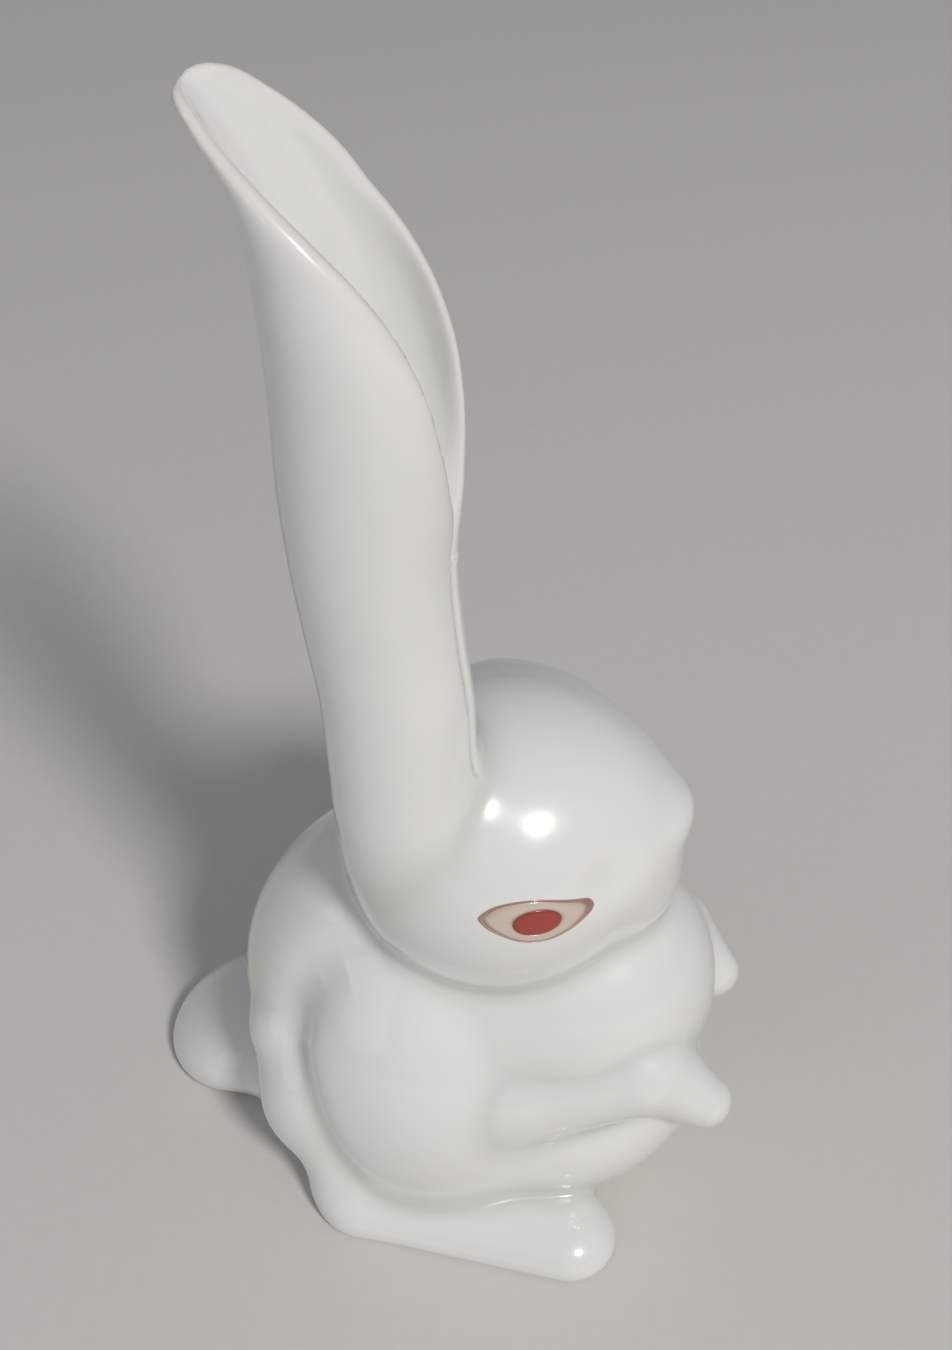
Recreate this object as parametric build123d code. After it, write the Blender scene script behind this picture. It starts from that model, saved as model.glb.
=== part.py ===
from build123d import *
from math import cos, radians, sin, sqrt
import os

# Sitting rabbit ornament, slip-cast porcelain, millimetres.
# The face looks along -Y, the rabbit's left is +X and up is +Z.
# Places are given as forward, left and up of the figure's middle line on the table.

# Casting and joining
body_wall = 3.2
head_wall = 3.2
floor_thickness = 3.4
slip_thickness = 0.3
enamel_thickness = 0.2
vent_bore = 3.4
foot_ring_depth = 0.7
neck_bore = 3.4

# Trunk, the main egg of the body
trunk_length = 43.0
trunk_width = 29.2
trunk_height = 42.0
trunk_forward = 2.5
trunk_up = 17.0

# Chest, in front of the trunk
chest_length = 25.6
chest_width = 25.4
chest_height = 26.4
chest_ahead = 12.0
chest_rise = 6.0

# Back, behind the trunk and leaning to the tail
back_length = 26.0
back_width = 25.0
back_height = 38.6
back_behind = 10.0
back_rise = 5.2
back_lean = 20.0

# Belly, low in front
belly_length = 35.4
belly_width = 32.0
belly_height = 24.4
belly_ahead = 7.0
belly_drop = 8.4

# Haunches, one on each side
haunch_length = 25.8
haunch_width = 19.2
haunch_height = 32.0
haunch_behind = 3.4
haunch_drop = 4.0
haunch_sink = 3.7
haunch_lean = 14.0

# Hind feet, each with the ridge of its hock
foot_length = 31.0
foot_heel_width = 8.8
foot_toe_width = 10.0
foot_flatness = 0.72
foot_tuck = 3.0
foot_ahead = 3.2
heel_ahead = 1.2
heel_thickness = 9.2
heel_sink = 1.0
hock_thickness = 10.0
hock_height = 15.5
hock_behind = 7.4
hock_tuck = 9.2

# Forelegs
elbow_thickness = 12.2
wrist_thickness = 7.4
paw_thickness = 5.6
elbow_sink = 3.1
elbow_behind = 3.9
elbow_drop = 4.7
forearm_length = 13.6
forearm_turn = 11.0
wrist_drop = 1.5
paw_length = 4.2
paw_drop = 2.6

# Tail, a flat paddle on the table
tail_length = 21.2
tail_width = 20.8
tail_thickness = 10.8
tail_behind = 24.9
tail_up = 3.6
tail_lean = 22.0
tail_offset = 0.9

# Head
head_length = 30.6
head_width = 30.6
head_height = 31.0
head_ahead = 2.5
head_rise = 3.0
head_tilt = 12.0
head_turn = 6.0
snout_length = 18.6
snout_width = 17.4
snout_height = 18.0
snout_ahead = 9.4
snout_drop = 0.6
nose_length = 8.0
nose_width = 8.6
nose_height = 7.0
nose_ahead = 14.4
nose_rise = 2.6

# Upright ear
ear_height = 77.4
ear_width = 15.4
ear_depth = 15.4
ear_offset = 7.0
rim_roll = 0.34
rim_roll_start = 0.72
rim_roll_end = 0.94
slit_width = 0.6
slit_depth = 2.2
slit_offset = 0.6
slit_low_share = 0.20
slit_high_share = 0.57

# Laid ear, folded down along the far side of the head
laid_ear_width = 7.6
laid_ear_thickness = 4.6
laid_ear_sink = 0.7

# Eyes
eye_length = 10.2
eye_height = 4.6
eye_line_width = 0.4
eye_ahead = 5.3
eye_rise = 2.6
eye_slant = -13.0
iris_length = 4.3
iris_height = 2.6
iris_ahead = 0.0
iris_rise = -0.1

# Profile of the upright ear above the head's middle:
# share of the height, then back and front as shares of the depth, then share of the width
ear_profile = [
    (0.039, -0.82, -0.09, 0.73),
    (0.116, -0.90, -0.04, 0.86),
    (0.200, -0.92, -0.06, 0.85),
    (0.310, -0.96, -0.09, 0.81),
    (0.440, -1.03, -0.14, 0.83),
    (0.570, -1.07, -0.12, 0.94),
    (0.690, -1.08, -0.07, 1.00),
    (0.790, -1.10, -0.16, 0.99),
    (0.870, -1.16, -0.36, 0.89),
    (0.930, -1.27, -0.66, 0.74),
    (0.975, -1.37, -0.98, 0.47),
    (1.000, -1.36, -1.23, 0.12),
]

# Edge of the opening in the side view: share of the depth forward, share of the height
ear_opening = [
    (-1.62, 1.040),
    (-1.36, 0.998),
    (-1.05, 0.955),
    (-0.68, 0.882),
    (-0.35, 0.800),
    (-0.15, 0.700),
    (-0.08, 0.600),
    (-0.04, 0.525),
]

# Hollow of the ear: share of the height, then back and front as shares of the depth,
# then share of the width
ear_scoop = [
    (0.530, -0.22, 0.12, 0.06),
    (0.600, -0.46, 0.16, 0.32),
    (0.680, -0.71, 0.18, 0.60),
    (0.760, -0.86, 0.14, 0.74),
    (0.850, -1.00, -0.01, 0.74),
    (0.930, -1.20, -0.40, 0.58),
    (1.012, -1.37, -0.84, 0.22),
]

# Line of the laid ear on the head, as directions from the head's middle (forward, left, up),
# each with its share of the width and of the thickness
laid_ear_line = [
    (-0.49, 0.64, 0.59, 0.56, 0.52),
    (-0.15, 0.75, 0.65, 0.94, 0.96),
    (0.16, 0.76, 0.62, 1.00, 1.00),
    (0.38, 0.73, 0.56, 0.86, 0.92),
    (0.56, 0.67, 0.49, 0.40, 0.46),
]

# Outline of the eye from its rear corner to its front corner: shares of its length and height
upper_lid = [(-0.50, 0.07), (-0.38, 0.37), (-0.11, 0.49), (0.19, 0.38), (0.50, 0.07)]
lower_lid = [(0.50, 0.07), (0.42, -0.20), (0.15, -0.48), (-0.16, -0.44), (-0.36, -0.22), (-0.50, 0.07)]

# Places worked out from the sizes
head_up = trunk_up + trunk_height / 2 + head_rise
head_forward = trunk_forward + head_ahead
haunch_side = trunk_width / 2 - haunch_sink
foot_side = haunch_side + haunch_width / 2 - foot_tuck
elbow_side = trunk_width / 2 - elbow_sink

# Side of a block that holds the whole figure
space = 400.0


def at(forward, left, up):
    """Place of a point in the part's own axes."""
    return Vector(left, -forward, up)


def ellipsoid(length, width, height, grow=0.0):
    """Egg shape about the origin, its length along Y."""
    return scale(Sphere(0.5), by=(width + 2 * grow, length + 2 * grow, height + 2 * grow))


def placed(forward, left, up, nose_up=0.0, turned=0.0):
    """Location of a form, tilted nose up and turned to its left."""
    return Location(at(forward, left, up)) * Rot(0, 0, turned) * Rot(-nose_up, 0, 0)


def tapered_limb(start, end, start_thickness, end_thickness):
    """Round-ended limb with a straight taper, its cone tangent to both end balls."""
    r0 = start_thickness / 2
    r1 = end_thickness / 2
    run = end - start
    length = run.length
    lean = (r0 - r1) / length
    rise = sqrt(1 - lean ** 2)
    low = (r0 * rise, r0 * lean)
    high = (r1 * rise, length + r1 * lean)
    first = ThreePointArc((0, -r0), (r0 * sqrt(0.5), -r0 * sqrt(0.5)), low)
    side = Line(low, high)
    tip = (0, length + r1)
    shoulder = (r1 * sqrt((1 - lean) / 2), length + r1 * sqrt((1 + lean) / 2))
    last = ThreePointArc(high, shoulder, tip)
    axis = Line(tip, (0, -r0))
    profile = make_face([first, side, last, axis])
    limb = revolve(Plane.XZ * profile, Axis.Z)
    return Plane(start, z_dir=run) * limb


def above_table():
    """Block that keeps only what is above the table."""
    return Pos(0, 0, space / 2) * Box(space, space, space)


def body_form(grow=0.0):
    """Trunk, chest, back, belly and haunches as one form, grown or shrunk by a wall."""
    trunk = placed(trunk_forward, 0, trunk_up) * ellipsoid(trunk_length, trunk_width, trunk_height, grow)
    chest = placed(trunk_forward + chest_ahead, 0, trunk_up + chest_rise)
    chest = chest * ellipsoid(chest_length, chest_width, chest_height, grow)
    back = placed(trunk_forward - back_behind, 0, trunk_up + back_rise, -back_lean)
    back = back * ellipsoid(back_length, back_width, back_height, grow)
    belly = placed(trunk_forward + belly_ahead, 0, trunk_up - belly_drop)
    belly = belly * ellipsoid(belly_length, belly_width, belly_height, grow)
    form = trunk + chest + back + belly
    haunch = ellipsoid(haunch_length, haunch_width, haunch_height, grow)
    haunch_forward = trunk_forward - haunch_behind
    haunch_up = trunk_up - haunch_drop
    for side in (-1, 1):
        form = form + placed(haunch_forward, side * haunch_side, haunch_up, haunch_lean) * haunch
    return form & above_table()


def head_form(grow=0.0):
    """Head ball, snout and nose as one form, grown or shrunk by a wall."""
    frame = placed(head_forward, 0, head_up, head_tilt, head_turn)
    form = frame * ellipsoid(head_length, head_width, head_height, grow)
    snout = ellipsoid(snout_length, snout_width, snout_height, grow)
    form = form + frame * Pos(at(snout_ahead, 0, -snout_drop)) * snout
    nose = ellipsoid(nose_length, nose_width, nose_height, grow)
    return form + frame * Pos(at(nose_ahead, 0, nose_rise)) * nose


def hind_foot_form(side):
    """Flat-topped foot with the ridge of the hock rising behind the haunch."""
    heel_forward = trunk_forward + foot_ahead - foot_length / 2 + foot_heel_width / 2
    toe_forward = trunk_forward + foot_ahead + foot_length / 2 - foot_toe_width / 2
    heel = at(heel_forward, side * foot_side, 0)
    toe = at(toe_forward, side * foot_side, 0)
    sole = scale(tapered_limb(heel, toe, foot_heel_width, foot_toe_width), by=(1, 1, foot_flatness))
    sole = Pos(0, 0, foot_flatness) * sole
    low_side = side * (foot_side - foot_tuck / 2)
    low = at(heel_forward - heel_ahead, low_side, heel_thickness / 2 - heel_sink)
    high = at(heel_forward - hock_behind, side * (foot_side - hock_tuck), hock_height)
    hock = tapered_limb(low, high, heel_thickness, hock_thickness)
    return (sole + hock) & above_table()


def foreleg_form(side):
    """Foreleg from the elbow to the drooping paw."""
    elbow_forward = trunk_forward + chest_ahead - elbow_behind
    elbow_up = trunk_up + chest_rise - elbow_drop
    elbow = at(elbow_forward, side * elbow_side, elbow_up)
    wrist_forward = elbow_forward + forearm_length * cos(radians(forearm_turn))
    wrist_side = side * (elbow_side - forearm_length * sin(radians(forearm_turn)))
    wrist_up = elbow_up - wrist_drop
    wrist = at(wrist_forward, wrist_side, wrist_up)
    paw = at(wrist_forward + paw_length, wrist_side, wrist_up - paw_drop)
    forearm = tapered_limb(elbow, wrist, elbow_thickness, wrist_thickness)
    return forearm + tapered_limb(wrist, paw, wrist_thickness, paw_thickness)


def tail_form():
    """Flat paddle of a tail that lies on the table."""
    form = placed(trunk_forward - tail_behind, tail_offset, tail_up, tail_lean)
    return form * ellipsoid(tail_length, tail_width, tail_thickness) & above_table()


def ear_section(share, back, front, width):
    """One level section of the upright ear."""
    middle = head_forward + (back + front) / 2 * ear_depth
    place = Pos(at(middle, -ear_offset, head_up + share * ear_height))
    return place * Ellipse(width * ear_width / 2, (front - back) / 2 * ear_depth)


def side_view(forward_share, height_share, shift=0.0):
    """Point of the upright ear's side view, in the plane across the head."""
    return (-(head_forward + forward_share * ear_depth), head_up + height_share * ear_height + shift)


def ear_opening_face(off_axis):
    """Region in front of the opening's edge, at a distance from the ear's axis."""
    edge = []
    for forward_share, height_share in ear_opening:
        roll = (height_share - rim_roll_start) / (rim_roll_end - rim_roll_start)
        shift = off_axis * rim_roll * min(1, max(0, roll))
        edge.append(side_view(forward_share, height_share, shift))
    curve = Spline(edge)
    far = ear_height
    corners = [edge[-1], (edge[-1][0] - far, edge[-1][1]), (edge[-1][0] - far, edge[0][1]), edge[0]]
    face = make_face([curve, Polyline(corners)])
    across = Plane((off_axis - ear_offset, 0, 0), x_dir=(0, 1, 0), z_dir=(1, 0, 0))
    return across * face


def ear_slit():
    """Narrow slot that runs down the front of the ear from its opening."""
    rows = [(row[2], row[0]) for row in ear_profile if slit_low_share <= row[0] <= slit_high_share]
    low_front, low_share = rows[0]
    edge = [side_view(low_front + slit_width / ear_depth, low_share)]
    for front, share in rows[1:]:
        edge.append(side_view(front - slit_depth / ear_depth, share))
    edge += [side_view(1, rows[-1][1]), side_view(1, low_share)]
    face = make_face([Polyline(edge, close=True)])
    across = Plane((-ear_offset - slit_offset, 0, 0), x_dir=(0, 1, 0), z_dir=(1, 0, 0))
    return extrude(across * face, amount=slit_width / 2, both=True)


def upright_ear_form():
    """Ear shell: a tapering tube, cut open in front, hollowed, with a slit below the opening."""
    tube = loft([ear_section(*row) for row in ear_profile])
    opening = loft([ear_opening_face(-ear_width), ear_opening_face(ear_width)])
    scoop = loft([ear_section(*row) for row in ear_scoop])
    return tube - opening - scoop - ear_slit()


def head_reach(way):
    """Distance from the head's middle to its surface, one way."""
    shares = (way.X / head_width, way.Y / head_length, way.Z / head_height)
    return 0.5 / sqrt(sum(share ** 2 for share in shares))


def laid_ear_form():
    """Ear folded down, a flat pod that follows the head's curve."""
    middle = at(head_forward, 0, head_up)
    outward = [at(*row[:3]).normalized() for row in laid_ear_line]
    line = [middle + way * (head_reach(way) - laid_ear_sink) for way in outward]
    last = len(line) - 1
    sections = []
    for index, row in enumerate(laid_ear_line):
        along = (line[min(index + 1, last)] - line[max(index - 1, 0)]).normalized()
        across = outward[index].cross(along)
        level = Plane(line[index], x_dir=across, z_dir=along)
        oval = Ellipse(row[3] * laid_ear_width / 2, row[4] * laid_ear_thickness / 2)
        sections.append(level * oval)
    return loft(sections)


def eye_face(line=0.0):
    """Almond outline of an eye in the head's side view, inside a painted line if one is given."""
    length = eye_length - 4 * line
    height = eye_height - 2 * line
    lids = [Spline([(x * length, z * height) for x, z in lid]) for lid in (upper_lid, lower_lid)]
    return make_face(lids)


def eye_prism(side, face):
    """Face of the eye swept sideways through the head's cheek."""
    frame = placed(head_forward, 0, head_up, head_tilt, head_turn)
    across = Plane((0, 0, 0), x_dir=(0, -1, 0), z_dir=(-1, 0, 0))
    seat = frame * Pos(at(eye_ahead, 0, eye_rise)) * Location(across) * Rot(0, 0, eye_slant)
    return extrude(seat * face, amount=-side * head_width)


def seated(form, carrier, bed):
    """A form's casting and the layer of slip that joins it to its carrier."""
    return form - bed, (form & bed) - carrier


pieces = {}

# Forms that the pieces are seated on and hollowed by
body = body_form()
body_bed = body_form(slip_thickness)
body_inside = body_form(-body_wall)
head = head_form()
head_bed = head_form(slip_thickness)
head_glaze = head_form(enamel_thickness)

# Neck: the head sits in the dip between chest and back, with a small hole for the air between them
neck = Pos(at(head_forward, 0, head_up - head_height / 2)) * Cylinder(neck_bore / 2, head_height)
head_piece, neck_slip = seated(head, body, body_bed)
head_inside = head_form(-head_wall) - body_form(slip_thickness + head_wall)
pieces["head_casting"] = head_piece - head_inside - neck
pieces["neck_slip_joint"] = neck_slip - neck

# Body: hollow, with a vent in its floor and a ring to stand on
hollow = body_inside & Pos(0, 0, floor_thickness + space / 2) * Box(space, space, space)
recess = body_inside & Pos(0, 0, foot_ring_depth / 2) * Box(space, space, foot_ring_depth)
vent = Pos(at(trunk_forward, 0, 0)) * Cylinder(vent_bore / 2, 3 * floor_thickness)
pieces["body_casting"] = body - hollow - recess - vent - neck

# Ears
for name, form in (("upright_ear", upright_ear_form()), ("laid_ear", laid_ear_form())):
    casting, slip = seated(form, head, head_bed)
    pieces[name] = casting
    pieces[name + "_slip_joint"] = slip

# Feet, forelegs and tail
feet = {side: hind_foot_form(side) for side in (-1, 1)}
for side, word in ((-1, "right"), (1, "left")):
    casting, slip = seated(feet[side], body, body_bed)
    pieces[word + "_hind_foot"] = casting
    pieces[word + "_hind_foot_slip_joint"] = slip
    casting, slip = seated(foreleg_form(side), body, body_bed)
    pieces[word + "_foreleg"] = casting
    pieces[word + "_foreleg_slip_joint"] = slip
tail, tail_slip = seated(tail_form() - feet[-1] - feet[1], body, body_bed)
pieces["tail"] = tail
pieces["tail_slip_joint"] = tail_slip

# Eyes: three thin layers of enamel side by side on the glaze
iris_face = Pos(iris_ahead, iris_rise) * Ellipse(iris_length / 2, iris_height / 2)
for side, word in ((-1, "right"), (1, "left")):
    layers = {
        word + "_eye_outline": eye_face() - eye_face(eye_line_width),
        word + "_eye_field": eye_face(eye_line_width) - iris_face,
        word + "_iris": iris_face,
    }
    for name, face in layers.items():
        pieces[name] = (eye_prism(side, face) & head_glaze) - head

# The origin lies on the table, under the middle of the whole figure
box = Compound(children=[Part(piece.wrapped) for piece in pieces.values()]).bounding_box()
to_origin = Pos(-(box.min.X + box.max.X) / 2, -(box.min.Y + box.max.Y) / 2, 0)
os.makedirs("parts", exist_ok=True)
for name, piece in pieces.items():
    export_step(to_origin * piece, "parts/" + name + ".step")
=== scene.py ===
import bpy
import numpy as np
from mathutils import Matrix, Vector


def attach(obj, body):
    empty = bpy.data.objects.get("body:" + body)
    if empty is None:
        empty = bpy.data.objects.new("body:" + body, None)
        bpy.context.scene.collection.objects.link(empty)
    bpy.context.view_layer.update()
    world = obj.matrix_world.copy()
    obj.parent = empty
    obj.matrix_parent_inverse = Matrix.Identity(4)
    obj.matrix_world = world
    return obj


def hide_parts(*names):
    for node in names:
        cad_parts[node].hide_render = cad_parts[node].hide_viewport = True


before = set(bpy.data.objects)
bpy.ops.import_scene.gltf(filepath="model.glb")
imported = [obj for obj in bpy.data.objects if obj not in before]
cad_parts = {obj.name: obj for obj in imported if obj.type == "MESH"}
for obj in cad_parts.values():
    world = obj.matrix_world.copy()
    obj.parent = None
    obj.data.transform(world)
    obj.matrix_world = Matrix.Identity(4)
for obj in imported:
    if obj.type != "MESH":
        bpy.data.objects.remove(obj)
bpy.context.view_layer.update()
scene = bpy.context.scene

# The clay is shaped in millimetres as (forward, left, up) from the table point under the body.
# A mesh point is then (left, -forward - STAND, up), in metres.
STAND = 0.742
MILLIMETRE = 0.001
GRAIN = 0.38  # size of the grid cells that the surface is found in
FAR = 99.0


# Clay shapes: each gives the distance to its surface, negative inside

def turned(yaw=0.0, nose_up=0.0):
    """Axes of a form turned to its left and tilted nose up, as columns."""
    y, p = np.radians([yaw, nose_up])
    level = np.array([[np.cos(y), -np.sin(y), 0], [np.sin(y), np.cos(y), 0], [0, 0, 1]])
    tilt = np.array([[np.cos(p), 0, -np.sin(p)], [0, 1, 0], [np.sin(p), 0, np.cos(p)]])
    return level @ tilt


def egg(points, centre, radii, axes=None):
    """Egg with a radius along each of its axes."""
    q = points - np.asarray(centre, float)
    if axes is not None:
        q = q @ axes
    r = np.asarray(radii, float)
    near = np.sqrt(((q / r) ** 2).sum(-1))
    steep = np.sqrt(((q / r ** 2) ** 2).sum(-1))
    return near * (near - 1) / np.maximum(steep, 1e-6)


def limb(points, start, end, start_radius, end_radius):
    """Rounded bar between two places, with a radius at each end."""
    a, run = np.asarray(start, float), np.subtract(end, start).astype(float)
    t = np.clip((points - a) @ run / (run @ run), 0, 1)
    away = np.linalg.norm(points - a - t[..., None] * run, axis=-1)
    return away - start_radius - (end_radius - start_radius) * t


def melt(a, b, width):
    """Two forms joined with a fillet of slip."""
    h = np.maximum(width - np.abs(a - b), 0) / width
    return np.minimum(a, b) - h ** 3 * width / 6


def carve(a, b, width):
    """The first form with the second cut out of it, its edge softened."""
    return -melt(-a, b, width)


def slope(form, points, reach=0.04):
    """Direction in which a form's distance grows, at each point."""
    out = np.empty_like(points)
    for axis in range(3):
        step = np.zeros(3)
        step[axis] = reach
        out[:, axis] = (form(points + step) - form(points - step)) / (2 * reach)
    return out


def flowing(at, table, column):
    """Smooth curve through one column of a table, against its first column."""
    x, y = table[:, 0], table[:, column]
    slopes = np.gradient(y, x)
    i = np.clip(np.searchsorted(x, at) - 1, 0, len(x) - 2)
    h = x[i + 1] - x[i]
    t = (np.clip(at, x[0], x[-1]) - x[i]) / h
    rise = (2 * t ** 3 - 3 * t ** 2 + 1) * y[i] + (3 * t ** 2 - 2 * t ** 3) * y[i + 1]
    rise += (t ** 3 - 2 * t ** 2 + t) * h * slopes[i] + (t ** 3 - t ** 2) * h * slopes[i + 1]
    rise += np.minimum(at - x[0], 0) * slopes[0] + np.maximum(at - x[-1], 0) * slopes[-1]
    return rise


# Head: each form's middle (ahead, left and up on the head), its radii and its fillet
HEAD = np.array([5.0, 0.0, 41.0])
HEAD_AXES = turned(6, 12)
SKULL_RISE, SKULL_RADII = 0.3, (15.2, 15.1, 14.9)
CROWN = ((2.4, 1.5, 1.9), (12.8, 12.4, 12.4), 4.0)
SNOUT = ((9.46, 0, 0.27), (8.0, 8.57, 8.88), 6.4)
CHIN = ((10.6, 0, -4.96), (6.1, 8.0, 6.2), 2.5)
NOSE = ((14.84, 0, 1.63), (4.0, 4.4, 3.4), 2.5)
BROW_DENT = ((15.2, 12.8, 4.4), (5.0, 4.0, 3.6), 4.0)


def on_head(ahead, left, rise):
    return HEAD + HEAD_AXES @ np.array([ahead, left, rise])


def on_side(place, side):
    """A place on the left, kept there or mirrored to the right."""
    return (place[0], side * place[1], place[2])


def head(points):
    form = egg(points, HEAD + (0, 0, SKULL_RISE), SKULL_RADII, HEAD_AXES)
    for place, radii, fillet in (CROWN, SNOUT, CHIN, NOSE):
        form = melt(form, egg(points, on_head(*place), radii, HEAD_AXES), fillet)
    place, radii, fillet = BROW_DENT
    for side in (-1, 1):
        form = carve(form, egg(points, on_head(*on_side(place, side)), radii, HEAD_AXES), fillet)
    return form


# Body: each form's middle, its radii, its axes and its fillet
TRUNK = ((2.5, 0, 17), (21.5, 14.6, 21))
CHEST = ((14.5, 0, 23), (12.6, 12.5, 13), None, 8)
BACK = ((-7.5, 0, 22), (13, 12.5, 19), turned(0, -20), 8)
BELLY = ((9.5, 0, 8.5), (17.5, 16.2, 12.2), None, 5)
FLANK = ((-2.5, 8.0, 20.0), (10.5, 7.6, 11.6), turned(0, 10), 3.0)
HAUNCH = ((-0.9, 10.9, 13.0), (12.9, 9.6, 16.0), turned(0, 14), 4.2)

# Shallow valley behind the thigh, between it and the rump and then the hock. A round tool presses it
# in: the place where it meets the clay, forward and up, and how deep it sinks
THIGH_VALLEY = [(-5.0, 33.0, -0.15), (-8.5, 31.5, -0.1), (-11.3, 28.7, 0.1), (-12.8, 25.0, 0.25),
                (-13.1, 20.8, 0.3), (-11.6, 16.6, 0.2), (-9.4, 12.0, 0.0), (-7.2, 7.5, -0.25)]
TOOL_RADIUS, VALLEY_SOFTNESS = 1.6, 5.0


def plump_torso(points):
    """Trunk, chest, back, belly, flanks and haunches, before the valleys are pressed in."""
    form = egg(points, *TRUNK)
    for place, radii, axes, fillet in (CHEST, BACK, BELLY):
        form = melt(form, egg(points, place, radii, axes), fillet)
    for side in (-1, 1):
        for place, radii, axes, fillet in (FLANK, HAUNCH):
            form = melt(form, egg(points, on_side(place, side), radii, axes), fillet)
    return form


def tool_line(ahead, rise, depth):
    """Where the tool's middle runs on the left, to a tenth of a millimetre."""
    inner, outer = np.zeros(len(ahead)), np.full(len(ahead), 30.0)
    for _ in range(50):
        left = (inner + outer) / 2
        inside = plump_torso(np.column_stack([ahead, left, rise])) < 0
        inner, outer = np.where(inside, left, inner), np.where(inside, outer, left)
    spots = np.column_stack([ahead, inner, rise])
    out = slope(plump_torso, spots)
    out /= np.linalg.norm(out, axis=1)[:, None]
    return np.round(spots + out * (TOOL_RADIUS - depth)[:, None], 1)


VALLEY_LINE = tool_line(*np.array(THIGH_VALLEY).T)


def torso(points):
    form = plump_torso(points)
    near = form < 6
    mirrored = points[near] * (1, 0, 1) + np.abs(points[near]) * (0, 1, 0)
    valley = np.full(len(mirrored), FAR)
    for start, end in zip(VALLEY_LINE[:-1], VALLEY_LINE[1:]):
        valley = np.minimum(valley, limb(mirrored, start, end, TOOL_RADIUS, TOOL_RADIUS))
    form[near] = carve(form[near], valley, VALLEY_SOFTNESS)
    return form


# Hind foot: hock from the heel up to the rump, its bulge, and the flat sole
HEEL, HOCK_TOP, HOCK_RADII = (-7.4, 15.8, 3.4), (-14.6, 9.2, 17.2), (4.1, 4.4)
HOCK_BULGE = ((-11.8, 12.8, 10.9), (5.3, 5.0, 7.0), 4.0)
SOLE_BACK, SOLE_TOE, SOLE_RADII = (-5.2, 17.4, 0.9), (16.0, 17.3, 0.9), (4.3, 5.0)
SOLE_FLATNESS, SOLE_FILLET = 0.72, 6.0


def hind_foot(points, side):
    place, radii, fillet = HOCK_BULGE
    hock = limb(points, on_side(HEEL, side), on_side(HOCK_TOP, side), *HOCK_RADII)
    hock = melt(hock, egg(points, on_side(place, side), radii), fillet)
    flat = points * np.array([1, 1, 1 / SOLE_FLATNESS])  # stretched up, so the round bar comes out flat
    sole = limb(flat, on_side(SOLE_BACK, side), on_side(SOLE_TOE, side), *SOLE_RADII) * 0.8
    return melt(hock, sole, SOLE_FILLET)


# Foreleg: upper arm, forearm and paw, each with its two ends and the radii there
UPPER_ARM = ((9.6, 5.2, 26.0), (8.2, 11.2, 17.2), 4.8, 5.7)
FOREARM = ((8.2, 11.6, 16.9), (20.4, 9.2, 20.0), 5.7, 4.8)
RIGHT_PAW = ((22.2, 8.9, 19.9), (27.8, 8.3, 15.5), 4.5, 2.8)
LEFT_PAW = ((22.2, 8.9, 19.9), (26.8, 8.3, 15.5), 4.5, 2.8)
FORELEG_FILLET = 2.0


def foreleg(points, side):
    form = None
    for start, end, start_radius, end_radius in (UPPER_ARM, FOREARM, RIGHT_PAW if side < 0 else LEFT_PAW):
        bar = limb(points, on_side(start, side), on_side(end, side), start_radius, end_radius)
        form = bar if form is None else melt(form, bar, FORELEG_FILLET)
    return form


TAIL_TIP = ((-22.4, 0.7, 3.6), (10.6, 9.4, 5.2), turned(0, 22))
TAIL_ROOT = ((-14.5, 0.7, 5.4), (9.0, 12.0, 6.4), turned(0, 30))


def tail(points):
    return melt(egg(points, *TAIL_TIP), egg(points, *TAIL_ROOT), 4.0)


# Laid ear, folded along the far brow: forward, left, up, half width, half thickness
LAID_EAR = [(-2.0, 9.2, 49.5, 2.4, 1.9), (2.9, 10.7, 50.2, 3.5, 2.2), (7.3, 10.8, 49.8, 3.7, 2.2),
            (10.3, 10.2, 48.8, 3.2, 2.1), (12.4, 9.3, 47.8, 1.7, 1.6)]


def laid_ear(points):
    """Flat strap that follows its line, its flat side toward the head."""
    form = None
    for row, next_row in zip(LAID_EAR[:-1], LAID_EAR[1:]):
        a, b = np.array(row[:3]), np.array(next_row[:3])
        run = b - a
        t = np.clip((points - a) @ run / (run @ run), 0, 1)
        q = points - a - t[..., None] * run
        out = (a + b) / 2 - HEAD
        out /= np.linalg.norm(out)
        off = q @ out
        wide, thick = (row[k] + (next_row[k] - row[k]) * t for k in (3, 4))
        along = np.maximum((q ** 2).sum(-1) - off ** 2, 0)
        strap = np.sqrt(along * (thick / wide) ** 2 + off ** 2) - thick
        form = strap if form is None else melt(form, strap, 1.5)
    return form


# Upright ear: height, back, front, half width
EAR_SIDE = -7.0
EAR = np.array([(38, -3.9, 1.0, 3.0), (44, -7.6, 3.6, 5.6), (50, -8.8, 4.4, 6.6), (56, -9.1, 4.2, 6.5),
                (64, -9.5, 3.9, 6.2), (71, -10.4, 3.1, 6.2), (79, -11.2, 2.6, 6.8), (86, -11.6, 3.3, 7.3),
                (92, -11.6, 3.8, 7.6), (98, -11.7, 3.5, 7.7), (102, -11.9, 2.6, 7.6), (106, -12.3, 1.2, 7.2),
                (109.5, -13.1, -1.1, 6.7), (112.5, -14.4, -4.2, 5.8), (115, -15.9, -7.6, 4.7),
                (117, -16.7, -11.0, 3.3), (118.4, -15.9, -13.9, 1.0)])
# Edge of its opening in the side view: forward, up
EAR_MOUTH = np.array([(-22, 121), (-17, 118.9), (-14, 117.1), (-11.2, 114.5), (-8.3, 111.5), (-5.5, 108.9),
                      (-2.8, 106.2), (-0.4, 102.9), (1.5, 99.2), (2.9, 95.4), (3.8, 91), (4.1, 86), (4.3, 82),
                      (6, 70), (9, 50)])
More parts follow.
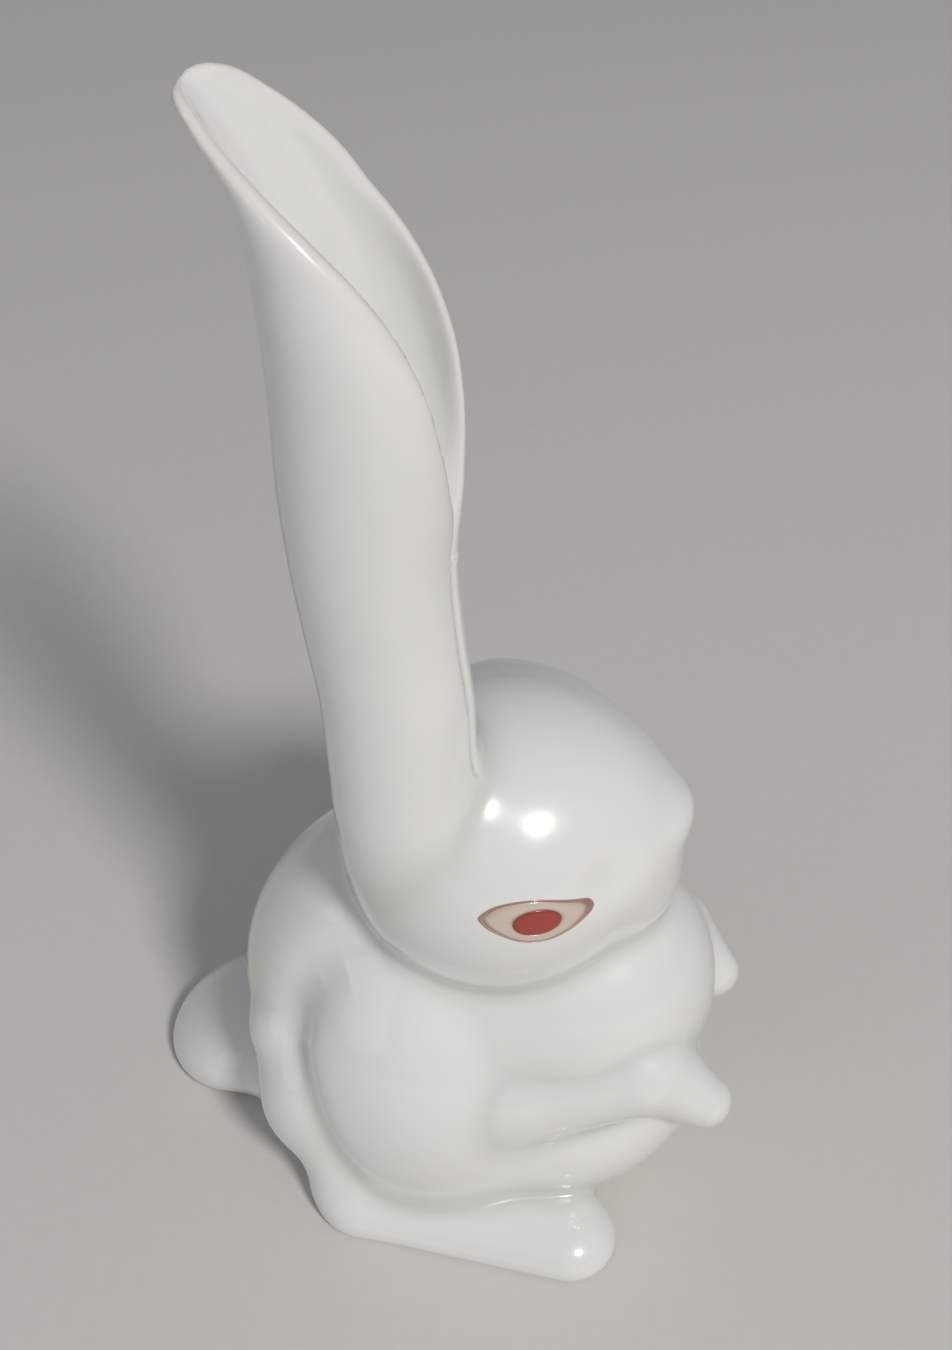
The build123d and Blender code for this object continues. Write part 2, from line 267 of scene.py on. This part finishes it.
# Lean of that edge toward the right, against height: on its right side and on its left side
MOUTH_LEAN = np.array([(100, -0.03, -0.06), (105, -0.03, -0.06), (108, -0.02, 0.0), (110, 0.0, 0.14),
                       (112, 0.08, 0.28), (114, 0.22, 0.37), (116, 0.36, 0.41), (119, 0.42, 0.42)])
# Hollow behind the opening: height, back, half width
EAR_HOLLOW = np.array([(81, 2.2, 0.25), (84, 0.6, 0.9), (88, -2.4, 2.6), (92, -5.2, 4.2), (96, -7, 5.2),
                       (100, -8.2, 5.7), (104, -9.4, 5.9), (108, -11.2, 5.6), (112, -13, 4.9),
                       (115, -14.6, 3.8), (117, -15.6, 2.6), (119.5, -16.2, 1.6)])
# Half width in which the hollow breaks through the ear's front, against height
EAR_GAP = np.array([(80, 0.1), (82, 0.3), (84, 0.8), (86.5, 1.6),
                    (90, 2.5), (93, 3.2), (98, 3.8), (104, 4.0)])
EAR_WALL = 1.25
EAR_BOTTOM, EAR_TOP = 36, 122
ROOT_FADE = 37  # height under which the ear fades away inside the head
# Slit below the opening: its depth against height, its place and its half width
SLIT = np.array([(50, 0), (54, 1.0), (60, 2.2), (72, 2.2), (78, 1.2), (82, 0.9), (86, 0.9)])
SLIT_OFFSET, SLIT_HALF_WIDTH = 0.6, 0.28
RIM_ROUNDING, SLIT_ROUNDING = 2.0, 0.9
# Heights from which the hollow and the mouth are cut, and those between which the slit is
HOLLOW_FROM, MOUTH_FROM, SLIT_FROM, SLIT_TO = 79, 76, 50, 84


def tube(points, up, back, front, half_width):
    """Upright tube whose level sections are ovals."""
    middle, reach = (back + front) / 2, (front - back) / 2
    squash = np.clip(half_width / reach, 0.2, 5)
    q = (points[..., 0] - middle) ** 2 + ((points[..., 1] - EAR_SIDE) / squash) ** 2
    return 0.85 * (q - reach ** 2) / (np.sqrt(q) + np.abs(reach) + 1e-3) * np.minimum(1, squash)


def smooth_edge(count):
    """The opening's edge as points of one smooth curve."""
    steps = np.linspace(0, len(EAR_MOUTH) - 1, count)
    knots = np.column_stack([np.arange(len(EAR_MOUTH)), EAR_MOUTH])
    return np.column_stack([flowing(steps, knots, 1), flowing(steps, knots, 2)])


MOUTH_EDGE = smooth_edge(90)


def mouth_side(points):
    """Distance to the opening's edge in the side view, positive in front of it."""
    edge = MOUTH_EDGE
    x, z = points[..., 0], points[..., 2]
    best, sign = np.full(x.shape, 1e9), np.ones(x.shape)
    for (x0, z0), (x1, z1) in zip(edge[:-1], edge[1:]):
        dx, dz = x1 - x0, z1 - z0
        t = np.clip(((x - x0) * dx + (z - z0) * dz) / (dx * dx + dz * dz), 0, 1)
        qx, qz = x - x0 - t * dx, z - z0 - t * dz
        d = qx * qx + qz * qz
        sign = np.where(d < best, np.sign(dx * qz - dz * qx), sign)
        best = np.minimum(d, best)
    return np.sqrt(best) * sign


def upright_ear(points):
    """Ear tube with its root fading into the head, its opening, hollow and slit cut."""
    form = np.full(points.shape[:-1], 9.0)  # too far off to melt into anything
    x, y, z = points[..., 0], points[..., 1], points[..., 2]
    around = (z > 34) & (np.abs(y - EAR_SIDE) < 15) & (np.abs(x + 6) < 21)
    if not around.any():
        return form
    p = points[around]
    z = np.clip(p[:, 2], EAR_BOTTOM, EAR_TOP)
    form[around] = tube(p, z, flowing(z, EAR, 1), flowing(z, EAR, 2), flowing(z, EAR, 3))
    form[around] += 1.5 * np.maximum(ROOT_FADE - p[:, 2], 0)
    near = form < 5
    p, shell = points[near], form[near]
    z = np.clip(p[:, 2], EAR_BOTTOM, EAR_TOP)
    height = np.clip(z, MOUTH_LEAN[0, 0], MOUTH_LEAN[-1, 0])
    lean = np.where(p[:, 1] < EAR_SIDE, flowing(height, MOUTH_LEAN, 1), flowing(height, MOUTH_LEAN, 2))
    leaning = p.copy()
    leaning[:, 2] -= (p[:, 1] - EAR_SIDE) * lean
    front = flowing(z, EAR, 2)
    hollow = tube(p, z, flowing(z, EAR_HOLLOW, 1), front + 4, flowing(z, EAR_HOLLOW, 2))
    gap = np.abs(p[:, 1] - EAR_SIDE) - np.interp(z, EAR_GAP[:, 0], EAR_GAP[:, 1])
    hollow = carve(hollow, -melt(shell + EAR_WALL, gap, 2.5), 1.5)
    hollow = np.where(z > HOLLOW_FROM, hollow, 6.0)
    behind = np.minimum(p[:, 0] - front + np.interp(z, SLIT[:, 0], SLIT[:, 1]), 0)
    slit = np.hypot(p[:, 1] - EAR_SIDE + SLIT_OFFSET, behind) - SLIT_HALF_WIDTH
    slit = np.where((z > SLIT_FROM) & (z < SLIT_TO), slit, 5.0)
    open_side = np.full(len(z), -5.0)
    high = z > MOUTH_FROM
    open_side[high] = mouth_side(leaning[high])
    shell = carve(shell, -open_side, RIM_ROUNDING)
    shell = carve(shell, hollow, RIM_ROUNDING)
    form[near] = carve(shell, slit, SLIT_ROUNDING)
    return form


# What each casting is, in the order in which they are joined: name, form, fillet
CASTINGS = [
    ("body_casting", torso, 0.0),
    ("right_hind_foot", lambda p: hind_foot(p, -1), 3.6),
    ("left_hind_foot", lambda p: hind_foot(p, 1), 3.6),
    ("right_foreleg", lambda p: foreleg(p, -1), 3.4),
    ("left_foreleg", lambda p: foreleg(p, 1), 3.4),
    ("tail", tail, 6.0),
    ("head_casting", head, 3.0),
    ("laid_ear", laid_ear, 2.2),
    ("upright_ear", upright_ear, 5.0),
]
HEAD_AT = 6  # the head's place in that list; the ears follow it

# Underside: foot ring, vent hole and the hollow above it
RING_WIDTH, RING_DEPTH = 3.4, 0.7
VENT_FORWARD, VENT_RADIUS, VENT_TOP = 2.5, 1.7, 8
HOLLOW = ((2.5, 0, 13), (9, 8, 8))


def underside(points, body):
    """Recess inside the foot ring, and the vent with the hollow above it."""
    recess = np.maximum(body + RING_WIDTH, points[..., 2] - RING_DEPTH)
    bore = np.hypot(points[..., 0] - VENT_FORWARD, points[..., 1]) - VENT_RADIUS
    vent = np.maximum(bore, points[..., 2] - VENT_TOP)
    return np.minimum(melt(recess, vent, 0.4), egg(points, *HOLLOW))


def joined(parts, first, last):
    """A run of castings joined one after another, each with its own fillet."""
    form = parts[first]
    for k in range(first + 1, last):
        form = melt(form, parts[k], CASTINGS[k][2])
    return form


def figure(points, all_parts=False):
    """The whole figure's distance, and with all_parts that of each casting by itself."""
    parts = np.stack([form(points) for _, form, _ in CASTINGS])
    below, above = joined(parts, 0, HEAD_AT), joined(parts, HEAD_AT, len(CASTINGS))
    whole = melt(below, above, CASTINGS[HEAD_AT][2])
    whole = carve(whole, points[..., 2], 0.6)
    whole = carve(whole, underside(points, parts[0]), 0.4)
    return (whole, parts) if all_parts else whole


# Surface of the clay

COARSE = 4  # cells of the fine grid to one of the coarse grid
POINTS_AT_ONCE = 200000


def settled(points, rounds):
    """Points moved onto the surface, with the surface's outward directions."""
    for _ in range(rounds):
        d, g = figure(points), slope(figure, points)
        move = d / np.maximum((g ** 2).sum(1), 0.2)
        points = points - g * np.clip(move, -GRAIN, GRAIN)[:, None]
    g = slope(figure, points)
    return points, g / np.linalg.norm(g, axis=1)[:, None]


def clay_skin(low, high):
    """Four-sided faces all round the figure, one vertex to each grid cell that the surface crosses.

    A coarse grid shows where the surface is near, and only there is the fine one filled.
    """
    low = np.asarray(low, float)
    count = np.ceil((np.asarray(high) - low) / GRAIN).astype(int) + 1
    few = count // COARSE + 2
    lines = [low[k] + np.arange(few[k]) * GRAIN * COARSE for k in range(3)]
    guess = figure(np.stack(np.meshgrid(*lines, indexing="ij"), -1).reshape(-1, 3)).reshape(few)
    pick = [np.minimum((np.arange(count[k]) + COARSE // 2) // COARSE, few[k] - 1) for k in range(3)]
    depth = guess[np.ix_(*pick)].astype(np.float32)
    near = np.argwhere(np.abs(depth) < 7.5 * GRAIN)
    for part in np.array_split(near, max(1, len(near) // POINTS_AT_ONCE)):
        depth[tuple(part.T)] = figure(low + part * GRAIN)
    inside = depth < 0
    total, hits, rings = np.zeros((depth.size, 3)), np.zeros(depth.size), []
    for axis in range(3):
        here = tuple(slice(None, -1) if k == axis else slice(None) for k in range(3))
        there = tuple(slice(1, None) if k == axis else slice(None) for k in range(3))
        edges = np.argwhere(inside[here] != inside[there])
        first = depth[tuple(edges.T)]
        ahead = edges.copy()
        ahead[:, axis] += 1
        second = depth[tuple(ahead.T)]
        spot = edges.astype(float)
        spot[:, axis] += first / (first - second)
        ring = []
        for du, dv in ((0, 0), (-1, 0), (-1, -1), (0, -1)):
            cell = edges.copy()
            cell[:, (axis + 1) % 3] += du
            cell[:, (axis + 2) % 3] += dv
            cell = np.ravel_multi_index(cell.T, depth.shape)
            ring.append(cell)
            hits += np.bincount(cell, minlength=depth.size)
            for k in range(3):
                total[:, k] += np.bincount(cell, spot[:, k], depth.size)
        ring = np.stack(ring, 1)
        rings.append(np.where((first > 0)[:, None], ring[:, ::-1], ring))
    cells, faces = np.unique(np.concatenate(rings), return_inverse=True)
    faces = faces.reshape(-1, 4)
    return low + total[cells] / hits[cells][:, None] * GRAIN, faces


def evened(points, faces, rounds):
    """Vertices spread evenly over the surface."""
    a = faces.ravel()
    b = np.roll(faces, -1, 1).ravel()
    number = np.bincount(a, minlength=len(points)) + np.bincount(b, minlength=len(points))
    for _ in range(rounds):
        middle = np.empty_like(points)
        for k in range(3):
            middle[:, k] = np.bincount(a, points[b, k], len(points))
            middle[:, k] += np.bincount(b, points[a, k], len(points))
        middle /= number[:, None]
        _, out = settled(points, 0)
        move = 0.6 * (middle - points)
        points = points + move - (move * out).sum(1)[:, None] * out
    return points


def face_pairs(faces):
    """Pairs of faces that share an edge."""
    a, b = faces.ravel(), np.roll(faces, -1, 1).ravel()
    key = np.minimum(a, b) * (faces.max() + 1) + np.maximum(a, b)
    order = np.argsort(key, kind="stable")
    owner, key = (np.arange(len(a)) // 4)[order], key[order]
    same = key[1:] == key[:-1]
    return owner[:-1][same], owner[1:][same]


def owners(points, faces):
    """Which casting each face belongs to: the one that it is deepest in, then what its neighbours say."""
    middle = points[faces].mean(1)
    parts = figure(middle, all_parts=True)[1]
    owner = parts.argmin(0)
    f, g = face_pairs(faces)
    for _ in range(8):
        votes = np.zeros((len(faces), len(CASTINGS)))
        np.add.at(votes, (f, owner[g]), 1)
        np.add.at(votes, (g, owner[f]), 1)
        votes[np.arange(len(faces)), owner] += 1.5
        owner = votes.argmax(1)
    return owner


def to_metres(points):
    return np.column_stack([points[:, 1], -points[:, 0] - STAND, points[:, 2]]) * MILLIMETRE


def plain_mesh(name, points, faces, normals=None, values=None):
    """Mesh object of a closed surface. Its normals may be given for the first vertices."""
    mesh = bpy.data.meshes.new(name)
    mesh.from_pydata(to_metres(points).tolist(), [], [list(map(int, f)) for f in faces])
    mesh.shade_smooth()
    if normals is not None:
        turned_out = np.column_stack([normals[:, 1], -normals[:, 0], normals[:, 2]])
        mesh.update()
        corners = np.empty(len(mesh.loops), int)
        mesh.loops.foreach_get("vertex_index", corners)
        ends = np.cumsum([len(f) for f in faces])
        flat = np.empty(len(mesh.polygons) * 3)
        mesh.polygons.foreach_get("normal", flat)
        of_face = np.repeat(flat.reshape(-1, 3), np.diff(np.concatenate([[0], ends])), axis=0)
        cap = np.repeat(np.array([len(f) == 3 for f in faces]), np.diff(np.concatenate([[0], ends])))
        given = np.vstack([turned_out, np.zeros((len(points) - len(turned_out), 3))])[corners]
        mesh.normals_split_custom_set(np.where(cap[:, None], of_face, given).tolist())
    for key, value in (values or {}).items():
        layer = mesh.attributes.new(key, "FLOAT", "POINT")
        layer.data.foreach_set("value", np.asarray(value, np.float32))
    piece = bpy.data.objects.new(name, mesh)
    scene.collection.objects.link(piece)
    return piece


def seams(faces):
    """Open edges of a set of faces, grouped into the seams that they form."""
    a, b = faces.ravel(), np.roll(faces, -1, 1).ravel()
    there = set(zip(a.tolist(), b.tolist()))
    open_edges = [(p, q) for p, q in zip(a.tolist(), b.tolist()) if (q, p) not in there]
    group = {}

    def root(v):
        while group.setdefault(v, v) != v:
            v = group[v]
        return v

    for p, q in open_edges:
        group[root(p)] = root(q)
    found = {}
    for p, q in open_edges:
        found.setdefault(root(p), []).append((p, q))
    return list(found.values())


def casting_piece(name, points, normals, faces, values):
    """One casting's share of the glazed surface, closed inside at its seams."""
    used, local = np.unique(faces, return_inverse=True)
    local = local.reshape(-1, 4)
    spots = points[used]
    extra, caps = [], []
    for seam in seams(local):
        centre = len(used) + len(extra)
        extra.append(spots[[p for p, _ in seam]].mean(0))
        caps += [(q, p, centre) for p, q in seam]
    allspots = np.vstack([spots] + [e[None] for e in extra])
    kept = {k: np.concatenate([v[used], np.zeros(len(extra))]) for k, v in values.items()}
    return plain_mesh(name, allspots, [tuple(f) for f in local] + caps, normals[used], kept)


points, faces = clay_skin((-35.8, -24.35, -1.4), (33, 24.5, 120.5))
points, normals = settled(points, 2)
points = evened(points, faces, 3)
points, normals = settled(points, 2)

# Painted shade greys the fillets and hollows; the glaze thins on the rims and is wiped off the foot ring
REACH = 0.8
whole, parts = figure(points, all_parts=True)
bend = sum(figure(points + s * REACH * axis) for axis in np.eye(3) for s in (-1, 1)) / REACH ** 2
in_fillet = np.clip((parts.min(0) - whole) / 0.6, 0, 1)
in_hollow = np.clip(-bend / 0.5, 0, 1)
on_rim = np.clip((bend - 0.45) / 1.2, 0, 1)
on_ring = np.clip(1 - points[:, 2] / 0.25, 0, 1)
# painted shade: its share is strongest in the fillets and hollows, where shade falls
values = {"painted_crease_shade": np.clip(in_fillet * 0.6 + in_hollow * 0.6, 0, 1), "glaze_thin": on_rim,
          "bare_clay": on_ring}

owner = owners(points, faces)
castings = {}
for index, (name, _, _) in enumerate(CASTINGS):
    castings[name] = casting_piece(name + "_glazed", points, normals, faces[owner == index], values)


# Painted eyes: closed curves round the eye's middle, ahead and up on the head's side
EYE_RIM = np.array([(-5.25, 0.31), (-4.9, 0.96), (-3.9, 1.69), (-2.55, 2.09), (-1.16, 2.23), (0.22, 2.15),
                    (1.98, 1.72), (3.55, 1.17), (4.38, 0.82), (4.88, 0.20), (4.84, -0.36), (4.24, -0.95),
                    (3.07, -1.71), (1.54, -2.25), (-0.03, -2.35), (-1.63, -2.01), (-3.06, -1.36),
                    (-4.34, -0.64)])
EYE_MIDDLE = (5.3, 2.6)
EYE_SLANT = -13.0
EYE_CORNER = 4.9
# Iris: its middle ahead and up, its half length and half height, and its tilt
IRIS = (0.0, -0.12, 2.15, 1.32, -2.0)
ROUND_THE_EYE = 120
SUNK = -0.06  # how deep the enamel's underside is in the glaze


def closed_curve(corners, count):
    """Smooth closed curve through points, at evenly spaced angles round the middle."""
    n = len(corners)
    t = np.arange(count * 4) * n / (count * 4)
    i = t.astype(int)
    f = (t - i)[:, None]
    a, b, c, d = (corners[(i + k) % n] for k in (-1, 0, 1, 2))
    dense = 2 * b + (c - a) * f + (2 * a - 5 * b + 4 * c - d) * f ** 2 + (3 * b - a - 3 * c + d) * f ** 3
    dense = dense / 2
    angle = np.unwrap(np.arctan2(dense[:, 1], dense[:, 0]))
    if angle[-1] < angle[0]:
        dense, angle = dense[::-1], angle[::-1]
    at = -np.pi + np.arange(count) * 2 * np.pi / count
    at = angle[0] + np.mod(at - angle[0], 2 * np.pi)
    ring = np.concatenate([angle, [angle[0] + 2 * np.pi]])
    return np.column_stack([np.interp(at, ring, np.append(column, column[0])) for column in dense.T])


def on_cheek(flat, side, lift):
    """Points of the eye's side view put on the cheek, at a height over the glaze."""
    tilt = np.radians(EYE_SLANT)
    ahead = EYE_MIDDLE[0] + flat[:, 0] * np.cos(tilt) - flat[:, 1] * np.sin(tilt)
    rise = EYE_MIDDLE[1] + flat[:, 0] * np.sin(tilt) + flat[:, 1] * np.cos(tilt)
    inward = HEAD_AXES @ np.array([0, -side, 0])
    spots = HEAD + np.column_stack([ahead, np.full(len(ahead), side * 20.0), rise]) @ HEAD_AXES.T
    for _ in range(60):  # in from beside the head until the glaze is met
        spots = spots + inward * figure(spots)[:, None] * 0.9
    _, out = settled(spots, 0)
    return spots + out * lift[:, None]


def enamel_layer(name, side, rings, lifts, inks, centre=None):
    """Thin closed layer of enamel between closed rings, its underside sunk in the glaze."""
    count = len(rings[0])
    flat, lift, ink = (np.concatenate(rows) for rows in (
        rings, [np.full(count, v) for v in lifts], [np.broadcast_to(v, count) for v in inks]))
    if centre is not None:
        flat, lift, ink = np.vstack([flat, centre]), np.append(lift, lifts[-1]), np.append(ink, inks[-1])
    top = on_cheek(flat, side, lift)
    under = on_cheek(flat, side, np.full(len(flat), SUNK))
    n = len(flat)
    quads = []
    for r in range(len(rings) - 1):
        for k in range(count):
            a, b = r * count + k, r * count + (k + 1) % count
            quads.append((a, b, b + count, a + count))
    if centre is not None:
        last = (len(rings) - 1) * count
        quads += [(last + k, last + (k + 1) % count, n - 1) for k in range(count)]
    upper = [q if side < 0 else q[::-1] for q in quads]
    lower = [tuple(v + n for v in q[::-1]) for q in upper]
    walls = []
    edges = [0] if centre is not None else [0, (len(rings) - 1) * count]
    for start in edges:
        for k in range(count):
            a, b = start + k, start + (k + 1) % count
            wall = (b, a, a + n, b + n)
            if (start > 0) != (side > 0):
                wall = wall[::-1]
            walls.append(wall)
    return plain_mesh(name, np.vstack([top, under]), upper + lower + walls, values={"ink": np.tile(ink, 2)})


def painted_eye(side, word):
    """Outline, field and iris of one eye, its line strongest along the top and at the front corner."""
    rim = closed_curve(EYE_RIM, ROUND_THE_EYE)
    angle = np.arctan2(rim[:, 1], rim[:, 0])
    across = rim / np.linalg.norm(rim, axis=1)[:, None]
    upper = np.clip(rim[:, 1] / 1.5, -1, 1) * 0.5 + 0.5
    corner = np.exp(-((rim[:, 0] - EYE_CORNER) / 0.8) ** 2)
    line = 0.12 + 0.06 * upper + 0.06 * corner
    strength = np.clip(0.28 + 0.36 * upper + 0.26 * corner, 0, 1)
    slim = np.abs(across[:, 1]) * 0.85 + 0.15
    inner = rim - across * (line / np.maximum(slim, 0.35))[:, None]
    middle = (rim + inner) / 2
    x, y, length, height, tip = IRIS
    lean = np.radians(tip)
    round_ = np.column_stack([length * np.cos(angle), height * np.sin(angle)])
    iris = np.column_stack([x + round_[:, 0] * np.cos(lean) - round_[:, 1] * np.sin(lean),
                            y + round_[:, 0] * np.sin(lean) + round_[:, 1] * np.cos(lean)])
    heart = np.array([[x, y]])
    mid = [inner + (iris - inner) * t for t in (0.25, 0.5, 0.75)]
    disc = [heart + (iris - heart) * t for t in (0.92, 0.7, 0.4)]
    return {
        word + "_eye_outline": enamel_layer(word + "_eye_line", side, [rim, middle, inner], [0.0, 0.07, 0.03],
                                            [strength * 0.5, strength, strength * 0.7]),
        word + "_eye_field": enamel_layer(word + "_eye_ground", side, [inner] + mid + [iris],
                                          [0.03] * 5, [0.5, 0.15, 0.0, 0.05, 0.4]),
        word + "_iris": enamel_layer(word + "_iris_dot", side, [iris] + disc, [0.03, 0.08, 0.10, 0.11],
                                     [0.6, 0.2, 0.0, 0.0], heart),
    }


eyes = {**painted_eye(-1, "right"), **painted_eye(1, "left")}


# Finishes

class Value:
    """A shader socket that Python sums can be written with."""

    def __init__(self, tree, socket):
        self.tree, self.socket = tree, socket

    def sum(self, operation, *terms):
        return self.tree.node("ShaderNodeMath", {"operation": operation}, *terms)

    def __add__(self, other):
        return self.sum("ADD", self, other)

    def __radd__(self, other):
        return self.sum("ADD", other, self)

    def __sub__(self, other):
        return self.sum("SUBTRACT", self, other)

    def __rsub__(self, other):
        return self.sum("SUBTRACT", other, self)

    def __mul__(self, other):
        return self.sum("MULTIPLY", self, other)

    def held(self):
        return self.tree.node("ShaderNodeClamp", {}, self)


class Finish:
    """A material built from nodes."""

    def __init__(self, name):
        self.material = bpy.data.materials.new(name)
        self.material.use_nodes = True
        self.nodes = self.material.node_tree.nodes
        self.links = self.material.node_tree.links
        self.surface = self.nodes["Principled BSDF"]

    def node(self, kind, settings, *values, out=0, **named):
        made = self.nodes.new(kind)
        for key, value in settings.items():
            setattr(made, key, value)
        for key, value in list(enumerate(values)) + [(k.replace("_", " "), v) for k, v in named.items()]:
            self.feed(made.inputs[key], value)
        return Value(self, made.outputs[out])

    def feed(self, socket, value):
        if isinstance(value, Value):
            self.links.new(value.socket, socket)
        else:
            socket.default_value = value

    def blend(self, share, first, second):
        made = self.nodes.new("ShaderNodeMix")
        made.data_type = "RGBA"
        for key, value in (("Factor_Float", share), ("A_Color", first), ("B_Color", second)):
            socket = next(s for s in made.inputs if s.identifier == key)
            self.feed(socket, (*value, 1) if isinstance(value, tuple) and len(value) == 3 else value)
        return Value(self, next(s for s in made.outputs if s.identifier == "Result_Color"))

    def layer(self, name):
        return self.node("ShaderNodeAttribute", {"attribute_name": name}, out="Fac")

    def place(self):
        return self.node("ShaderNodeTexCoord", {}, out="Object")

    def cloud(self, size, detail=2.0, rough=0.5):
        """Soft noise whose blotches are about this many millimetres across."""
        return self.node("ShaderNodeTexNoise", {}, Vector=self.place(), Scale=1000 / size, Detail=detail,
                         Roughness=rough)

    def set(self, **values):
        for key, value in values.items():
            if isinstance(value, tuple) and len(value) == 3 and "Color" in key:
                value = (*value, 1)
            self.feed(self.surface.inputs[key.replace("_", " ")], value)


def glaze_finish():
    """Glossy white glaze with painted grey-green shade in its fillets and hollows, warmer where it is thin,
    over pale bare clay.
    """
    f = Finish("white_glaze")
    crease_shade, thin, bare = f.layer("painted_crease_shade"), f.layer("glaze_thin"), f.layer("bare_clay")
    mottle = f.cloud(9.0, 3.0)
    fine = f.cloud(0.9, 2.0)
    color = f.blend(mottle, (0.800, 0.800, 0.775), (0.835, 0.832, 0.812))
    # painted shade: grey-green in the fillets and hollows, where shade falls
    color = f.blend((crease_shade * 0.9 + (fine - 0.5) * 0.05).held(), color, (0.640, 0.655, 0.610))
    color = f.blend((thin * 0.55).held(), color, (0.760, 0.690, 0.640))
    grit = f.cloud(0.35, 3.0, 0.6)
    clay = f.blend(grit, (0.62, 0.57, 0.49), (0.76, 0.72, 0.65))
    color = f.blend(bare, color, clay)
    f.set(Base_Color=color, Roughness=0.19 + mottle * 0.06 + bare * 0.55, Coat_Weight=1 - bare,
          Specular_IOR_Level=0.45, Coat_Roughness=0.045, Coat_IOR=1.5)
    ripple = f.node("ShaderNodeBump", {}, Strength=0.10, Distance=0.00012, Height=f.cloud(2.6, 1.0))
    skin = f.node("ShaderNodeBump", {}, Strength=0.06, Distance=0.00004, Height=fine, Normal=ripple)
    rough = f.node("ShaderNodeBump", {}, Strength=0.6, Distance=0.00006, Height=grit * bare, Normal=skin)
    f.set(Normal=rough)
    return f.material


def enamel_finish(name, full, faint, coat=0.8):
    """Painted enamel, full where the ink is strong and faint where the brush left little."""
    f = Finish(name)
    ink = f.layer("ink")
    streak = f.cloud(0.25, 3.0, 0.65)
    f.set(Base_Color=f.blend((ink + (streak - 0.5) * 0.5).held(), faint, full),
          Roughness=0.26 + streak * 0.10, Coat_Weight=coat, Coat_Roughness=0.08, Coat_IOR=1.5)
    f.set(Normal=f.node("ShaderNodeBump", {}, Strength=0.25, Distance=0.00003, Height=streak))
    return f.material


white_glaze = glaze_finish()
line_enamel = enamel_finish("brown_line_enamel", (0.20, 0.050, 0.030), (0.62, 0.42, 0.34))
ground_enamel = enamel_finish("pale_ground_enamel", (0.48, 0.35, 0.27), (0.64, 0.55, 0.47))
iris_enamel = enamel_finish("red_iris_enamel", (0.235, 0.025, 0.014), (0.36, 0.036, 0.022))

for name, piece in castings.items():
    piece.data.materials.append(white_glaze)
    joint = {"head_casting": "neck_slip_joint"}.get(name, name + "_slip_joint")
    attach(piece, "root")
    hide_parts(name)
    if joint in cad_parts:
        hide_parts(joint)
for name, piece in eyes.items():
    kind = "line" if "outline" in name else "ground" if "field" in name else "iris"
    piece.data.materials.append({"line": line_enamel, "ground": ground_enamel, "iris": iris_enamel}[kind])
    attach(piece, "root")
    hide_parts(name)


# Table, light and camera

def table_top():
    mesh = bpy.data.meshes.new("table_top")
    r = 1.6  # half its side, in metres
    mesh.from_pydata([(-r, -r, 0), (r, -r, 0), (r, r, 0), (-r, r, 0)], [], [(0, 1, 2, 3)])
    top = bpy.data.objects.new("table_top", mesh)
    scene.collection.objects.link(top)
    f = Finish("pale_table")
    paper = f.cloud(1.5, 3.0)
    f.set(Base_Color=f.blend(paper, (0.66, 0.645, 0.61), (0.70, 0.685, 0.65)), Roughness=0.6)
    mesh.materials.append(f.material)


def soft_box(name, place, size, power, tint):
    """Round soft lamp that looks at the middle of the figurine."""
    lamp = bpy.data.lights.new(name, "AREA")
    lamp.shape, lamp.size, lamp.energy, lamp.color = "DISK", size, power, tint
    box = bpy.data.objects.new(name, lamp)
    box.location = place
    box.rotation_euler = (Vector((0, 0, 0.05)) - Vector(place)).to_track_quat("-Z", "Y").to_euler()
    scene.collection.objects.link(box)


table_top()
soft_box("key_light", (-0.52, -0.50, 0.74), 0.20, 5.7, (1.0, 0.985, 0.96))
soft_box("fill_light", (-0.65, 0.55, 0.45), 0.8, 0.7, (0.94, 0.97, 1.0))
room = bpy.data.worlds.new("room")
room.use_nodes = True
room_light = room.node_tree.nodes["Background"].inputs
room_light["Color"].default_value, room_light["Strength"].default_value = (0.93, 0.96, 1.0, 1), 0.25
scene.world = room
scene.view_settings.view_transform = "Standard"

CAMERA_PLACE = (-0.1164, -0.0275 - STAND * MILLIMETRE, 0.1679)
CAMERA_LOOKS = (0.727, 0.155, -0.669)
lens = bpy.data.cameras.new("photo_view")
lens.lens, lens.sensor_width, lens.clip_start, lens.clip_end = 48.0, 36.0, 0.01, 10.0
camera = bpy.data.objects.new("photo_view", lens)
camera.location = CAMERA_PLACE
camera.rotation_euler = Vector(CAMERA_LOOKS).to_track_quat("-Z", "Y").to_euler()
scene.collection.objects.link(camera)
scene.camera = camera
